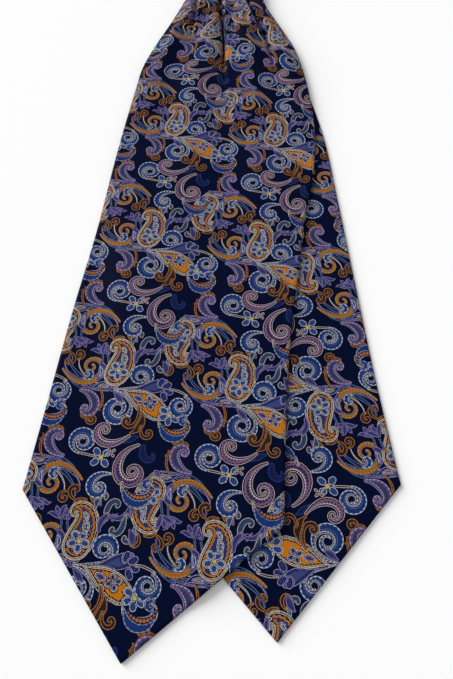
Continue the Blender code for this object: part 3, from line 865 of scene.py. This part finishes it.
def silk_twill():
    """Screen-printed silk twill: fine close threads, a low soft sheen, and crisp, slightly uneven inks."""
    material = bpy.data.materials.new("silk_twill_screen_printed")
    material.use_nodes = True
    tree = material.node_tree
    shader = tree.nodes["Principled BSDF"]
    painter = curl_painter()
    cloth = add(tree, "ShaderNodeAttribute", attribute_name="cloth").outputs["Vector"]
    wobble = add(tree, "ShaderNodeTexNoise", [("Vector", cloth), ("Scale", BLEED_SCALE), ("Detail", 1.0)])
    bands = [("Vector", cloth), ("Scale", BAND_SCALE / TWILL_PITCH)]
    twill = add(tree, "ShaderNodeTexWave", bands, bands_direction="DIAGONAL")
    known = {"wobble": wobble.outputs["Fac"], "twill": twill.outputs["Fac"]}
    follow(tree, known, [("bleed", "MULTIPLY_ADD", "wobble", 2 * BLEED, -BLEED)])
    limit = NO_LIMIT
    for layer in (0, 1):
        foot, form, kind = (
            add(tree, "ShaderNodeAttribute", attribute_name=f"{name}_{layer}").outputs
            for name in ("foot", "form", "kind")
        )
        inputs = [
            ("Cloth", cloth),
            ("Foot", foot["Vector"]),
            ("Form", form["Vector"]),
            ("Kind", kind["Color"]),
            ("Side", kind["Alpha"]),
            ("Limit", limit),
            ("Bleed", known["bleed"]),
        ]
        made = add(tree, "ShaderNodeGroup", inputs, node_tree=painter)
        known[f"depth {layer}"], known[f"colour {layer}"] = made.outputs
        follow(tree, known, [("limit", "SUBTRACT", -CLEAR, f"depth {layer}")])
        limit = known["limit"]
    # The curl on top over the one underneath, then the twill's diagonal lines in colour and in relief
    steps = [
        ("on top", "SOFT_STEP", "depth 0", -BLUR, BLUR),
        ("print", "BLEND", "on top", "colour 1", "colour 0"),
        ("shade", "MULTIPLY_ADD", "twill", TWILL_SHADE, 1.0 - TWILL_SHADE / 2),
    ]
    follow(tree, known, steps)
    tint = [(0, known["print"]), ("Scale", known["shade"])]
    shaded = add(tree, "ShaderNodeVectorMath", tint, operation="SCALE")
    tree.links.new(shaded.outputs["Vector"], shader.inputs["Base Color"])
    relief = [("Strength", TWILL_STRENGTH), ("Distance", TWILL_RELIEF), ("Height", known["twill"])]
    bump = add(tree, "ShaderNodeBump", relief)
    tree.links.new(bump.outputs["Normal"], shader.inputs["Normal"])
    shader.inputs["Roughness"].default_value = SILK_ROUGHNESS
    shader.inputs["Specular IOR Level"].default_value = SILK_SHINE
    return material


def shell(name, dense, backing, cloth, up, material):
    """A closed thin layer of cloth: a dense printed side and a coarser plain one, joined at the edge.

    The plain side uses every fourth row and column. Its outer faces take in all the dense side's edge
    points between their corners, so that the two sides share one edge.
    """
    rows, columns = dense.shape[:2]
    number = np.arange(rows * columns).reshape(rows, columns)
    quads = np.stack([number[1:, :-1], number[1:, 1:], number[:-1, 1:], number[:-1, :-1]], -1)
    quads = quads.reshape(-1, 4)
    inner = backing[BACKING_STEP:-1:BACKING_STEP, BACKING_STEP:-1:BACKING_STEP]
    coarse = number[::BACKING_STEP, ::BACKING_STEP].copy()
    added = np.arange(inner.shape[0] * inner.shape[1]).reshape(inner.shape[:2])
    coarse[1:-1, 1:-1] = rows * columns + added
    faces = (quads if up else quads[:, ::-1]).tolist()
    last_row, last_column = coarse.shape[0] - 2, coarse.shape[1] - 2
    for r in range(last_row + 1):
        for c in range(last_column + 1):
            top, low = r * BACKING_STEP, (r + 1) * BACKING_STEP
            left, right = c * BACKING_STEP, (c + 1) * BACKING_STEP
            ring = [coarse[r, c]]
            if r == 0:
                ring += number[0, left + 1 : right].tolist()
            ring += [coarse[r, c + 1]]
            if c == last_column:
                ring += number[top + 1 : low, -1].tolist()
            ring += [coarse[r + 1, c + 1]]
            if r == last_row:
                ring += number[-1, left + 1 : right][::-1].tolist()
            ring += [coarse[r + 1, c]]
            if c == 0:
                ring += number[top + 1 : low, 0][::-1].tolist()
            faces.append(ring if up else ring[::-1])
    points = np.concatenate([dense.reshape(-1, 3), inner.reshape(-1, 3)])
    mesh = bpy.data.meshes.new(name)
    mesh.from_pydata(points.tolist(), [], faces)
    mesh.shade_smooth()
    inner_cloth = cloth[BACKING_STEP:-1:BACKING_STEP, BACKING_STEP:-1:BACKING_STEP]
    middles = (cloth[1:, :-1] + cloth[1:, 1:] + cloth[:-1, 1:] + cloth[:-1, :-1]) / 4
    margins = np.linalg.norm(cloth[1:, 1:] - cloth[:-1, :-1], axis=2) / 2
    points_cloth = np.concatenate([cloth.reshape(-1, 2), inner_cloth.reshape(-1, 2)])
    put_print(mesh, middles.reshape(-1, 2), points_cloth, margins.ravel())
    mesh.materials.append(material)
    piece = bpy.data.objects.new(name, mesh)
    bpy.context.scene.collection.objects.link(piece)
    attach(piece, "root")
    return piece


def with_height(plan, height):
    """A grid in plan with its heights."""
    return np.concatenate([plan, np.broadcast_to(height, plan.shape[:2])[..., None]], -1)


def cloth_of(plan, tip, lean, hidden=0.0):
    """The flat cloth's own place of each point of a blade, in millimetres from its tip."""
    away = plan / MM - np.array(tip)
    across = away @ np.array([np.cos(lean), -np.sin(lean)])
    along = away @ np.array([np.sin(lean), np.cos(lean)])
    return np.stack([across + hidden, along], -1)


def hidden_cloth(shares, depth, width):
    """How much cloth the pleats hide between each point and the middle panel, in millimetres.

    Each pleat hides its most at the neck and nothing from its foot down.
    """
    centres, _ = pleat_lines(depth, width)
    hidden = np.zeros_like(shares)
    for k, (_, _, reach, side, most, _) in enumerate(PLEATS):
        beyond = (shares - centres[:, k : k + 1]) * side < 0.0
        hidden += np.where(beyond, -side * most, 0.0) * np.clip(1.0 - depth / reach, 0.0, 1.0)[:, None]
    return hidden


def front_blade(material):
    """The blade on top: its printed face with the opening pleats, and its under layer."""
    loop = back_outline()
    for size, up in ((FACE_GRID, True), (UNDER_GRID, False)):
        plan, depths, widths, shares, inset = blade_grid(FRONT_ROWS, FRONT_TIP, size)
        on_blade = 1.0 - ease(EASE_START, EASE_END, outside(plan, loop))
        under = (back_top(plan[..., 1]) + GAP) * on_blade
        middle = under + WALL / 2
        full = swell_over_edge(inset)
        if up:
            stacked = (BAND_WALL - WALL - PLEAT_STEP) * (1.0 - ease(0.0, PLEAT_RUN, depths))[:, None]
            relief = stacked + pleat_height(shares, depths, widths) + edge_roll(inset)
            relief += crease_height(shares, depths, widths, FRONT_CREASES)
            dense = with_height(plan, middle + LAYER_GAP / 2 + (WALL / 2 + relief) * full)
            backing = with_height(plan, middle + LAYER_GAP / 2)
        else:
            dense = with_height(plan, middle - LAYER_GAP / 2 - (WALL - LAYER_GAP) / 2 * full)
            backing = with_height(plan, middle - LAYER_GAP / 2)
        cloth = cloth_of(plan, FRONT_TIP, FRONT_LEAN, hidden_cloth(shares, depths, widths))
        cloth = cloth - np.array(FRONT_ORIGIN)
        name = "front_blade_face" if up else "front_blade_under_layer"
        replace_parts(shell(name, dense, backing, cloth, up, material), "front_blade")


def back_blade(material):
    """The blade underneath, flat on the table, with its print the other way up."""
    for size, up in ((FACE_GRID, True), (UNDER_GRID, False)):
        plan, depths, widths, shares, inset = blade_grid(BACK_ROWS, BACK_TIP, size)
        full = swell_over_edge(inset)
        top = back_top(plan[..., 1])
        middle = WALL / 2
        if up:
            relief = crease_height(shares, depths, widths, BACK_CREASES)
            rise = top - middle - LAYER_GAP + relief
            dense = with_height(plan, middle + LAYER_GAP / 2 + rise * full)
            backing = with_height(plan, middle + LAYER_GAP / 2)
        else:
            dense = with_height(plan, middle - LAYER_GAP / 2 - (middle - LAYER_GAP / 2) * full)
            backing = with_height(plan, middle - LAYER_GAP / 2)
        cloth = -cloth_of(plan, BACK_TIP, BACK_LEAN) - np.array(BACK_ORIGIN)
        name = "back_blade_face" if up else "back_blade_under_layer"
        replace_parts(shell(name, dense, backing, cloth, up, material), "back_blade")


def neckband(material):
    """The pleated band: up from the front blade, over its turn and back underneath.

    Each row is a section across the band. Its outer side follows the upper half, the turn and the lower
    half, and its inner side lies a wall's thickness within.
    """
    rows, columns = BAND_GRID
    radius = BAND_WALL + FOLD_GAP / 2
    turn_y = TOP_Y - radius
    straight = turn_y - NECK_Y
    length = 2 * straight + pi * (radius + FOLD_GAP / 2) / 2
    run = np.linspace(0.0, length, rows + 1)
    spin = np.clip((run - straight) / (length - 2 * straight), 0.0, 1.0) * pi
    beyond = np.clip(run - (length - straight), 0.0, None)
    y = np.where(run < straight, NECK_Y + run, turn_y - beyond)
    zero = np.zeros(rows + 1)
    width = np.full(rows + 1, NECK_RIGHT - NECK_LEFT)
    shares = column_shares(zero, width, columns)
    inset = np.minimum(shares, 1.0 - shares) * width[:, None]
    full = swell_over_edge(inset)
    relief = pleat_height(shares, zero, width) - PLEAT_STEP
    fold_y = turn_y - FOLD_LEG
    lift = (FOLD_GAP - GAP) * ease(fold_y - FOLD_RISE, fold_y, y)
    under = BAND_WALL + GAP + lift
    narrow = FOLD_NARROW * (y - NECK_Y) / (TOP_Y - NECK_Y)
    x = NECK_LEFT + narrow[:, None] + (width[:, None] - 2 * narrow[:, None]) * shares
    half_wall = BAND_WALL / 2
    # The relief fades round the turn, so that the lower half lies flat on the table
    fading = (1.0 - spin[:, None] / pi) ** 2
    flat_z = np.where(run < straight, under + half_wall, half_wall)[:, None]
    sign = np.where(run < straight, 1.0, -1.0)[:, None]
    turning = ((spin > 0.0) & (spin < pi))[:, None]
    grids = []
    for thick in ((half_wall + relief * fading) * full, -half_wall * full):
        bow = FOLD_GAP / 2 + half_wall + thick
        height = np.where(turning, radius + bow * np.cos(spin)[:, None], flat_z + sign * thick)
        reach = np.where(turning, turn_y + bow * np.sin(spin)[:, None], y[:, None])
        grids.append(np.stack([x, reach, height], -1))
    dense, backing = grids
    # The print follows the cloth round the band's rims
    steps = np.hypot(np.diff(x), np.diff(half_wall * full))
    across = np.concatenate([np.zeros((rows + 1, 1)), np.cumsum(steps, axis=1)], 1)
    across += (x - across)[:, columns // 2, None]
    along = np.broadcast_to((run / MM)[:, None] + BLADE_LENGTH, x.shape)
    cloth = np.stack([across / MM + hidden_cloth(shares, zero, width), along], -1)
    cloth = cloth - np.array([cloth[0, columns // 2, 0] + BAND_SHIFT, 0.0]) - np.array(FRONT_ORIGIN)
    piece = shell("neckband", dense[::-1], backing[::-1], cloth[::-1], True, material)
    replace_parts(piece, "neckband_front", "neckband_fold", "neckband_back")


def studio():
    """A pale floor, soft light from the upper left, and the camera at the photograph's angle.

    The key light is a sun with a wide spread, which lights every part alike, as a large far softbox does.
    """
    scene = bpy.context.scene
    mesh = bpy.data.meshes.new("floor")
    corners = [(FLOOR_HALF * x, FLOOR_HALF * y, 0) for x, y in ((-1, -1), (1, -1), (1, 1), (-1, 1))]
    mesh.from_pydata(corners, [], [(0, 1, 2, 3)])
    floor = bpy.data.objects.new("floor", mesh)
    scene.collection.objects.link(floor)
    # A roll of matt photographer's paper, which gives a plain white with no shine
    paper = bpy.data.materials.new("matt_white_paper_roll")
    paper.use_nodes = True
    shader = paper.node_tree.nodes["Principled BSDF"]
    shader.inputs["Base Color"].default_value = linear("#fcfcfc")
    shader.inputs["Roughness"].default_value = 0.9
    mesh.materials.append(paper)
    world = bpy.data.worlds.new("studio_air")
    world.use_nodes = True
    sky = world.node_tree.nodes["Background"]
    sky.inputs["Color"].default_value = (1.0, 1.0, 1.0, 1.0)
    sky.inputs["Strength"].default_value = SKY_STRENGTH
    scene.world = world
    lamp = bpy.data.lights.new("key_softbox", "SUN")
    lamp.angle = KEY_SPREAD
    lamp.energy = KEY_STRENGTH
    key = bpy.data.objects.new("key_softbox", lamp)
    key.location = KEY_FROM
    aim = Vector(KEY_TOWARDS) - Vector(KEY_FROM)
    key.rotation_euler = aim.to_track_quat("-Z", "Y").to_euler()
    scene.collection.objects.link(key)
    lens = bpy.data.cameras.new("camera")
    lens.lens = FOCAL_LENGTH
    lens.sensor_width = SENSOR_WIDTH
    lens.clip_start = 0.01
    camera = bpy.data.objects.new("camera", lens)
    camera.location = CAMERA_AT
    camera.rotation_euler = (CAMERA_TILT, 0.0, 0.0)
    scene.collection.objects.link(camera)
    scene.camera = camera
    scene.view_settings.view_transform = "Standard"


silk = silk_twill()
studio()
front_blade(silk)
back_blade(silk)
neckband(silk)
